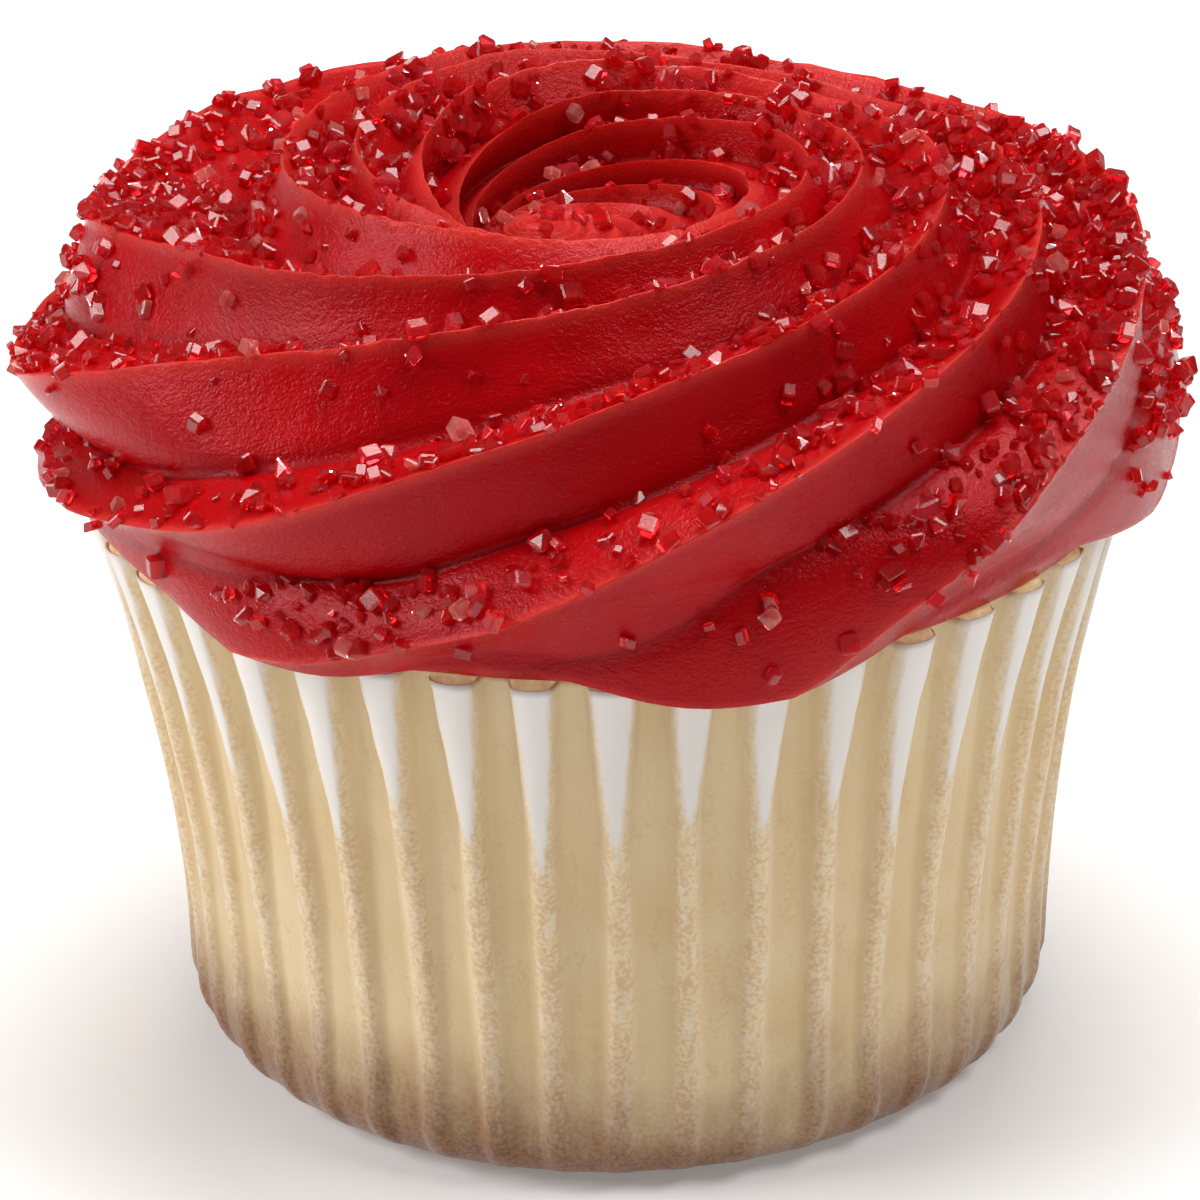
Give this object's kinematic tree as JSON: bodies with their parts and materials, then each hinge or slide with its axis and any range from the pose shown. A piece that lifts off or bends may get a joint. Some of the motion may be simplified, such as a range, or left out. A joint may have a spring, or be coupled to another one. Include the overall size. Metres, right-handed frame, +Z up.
{
  "type": "cupcake",
  "caption": "Frosted cupcake in a fluted paper case, topped with a piped buttercream rosette and coarse sanding sugar.",
  "frame": {"origin": "middle of the flat bottom of the paper case, on the surface that the cupcake stands on", "axes": "+Z up along the axis of the paper case; the usual front of the cupcake faces -Y, with +X to its right"},
  "size_m": [0.0685, 0.0696, 0.0549],
  "materials": {
    "case_paper": "thin greaseproof paper, white where it is dry, golden and brown where the sponge shows through it",
    "sponge": "baked vanilla sponge with a fine dry crumb, golden brown at its edge",
    "buttercream": "deep red buttercream with a soft satin sheen",
    "sugar": "clear red sugar crystals with bright facets"
  },
  "bodies": {
    "root": {"paper_case": "case_paper", "sponge": "sponge", "frosting": "buttercream"}
  },
  "joints": []
}
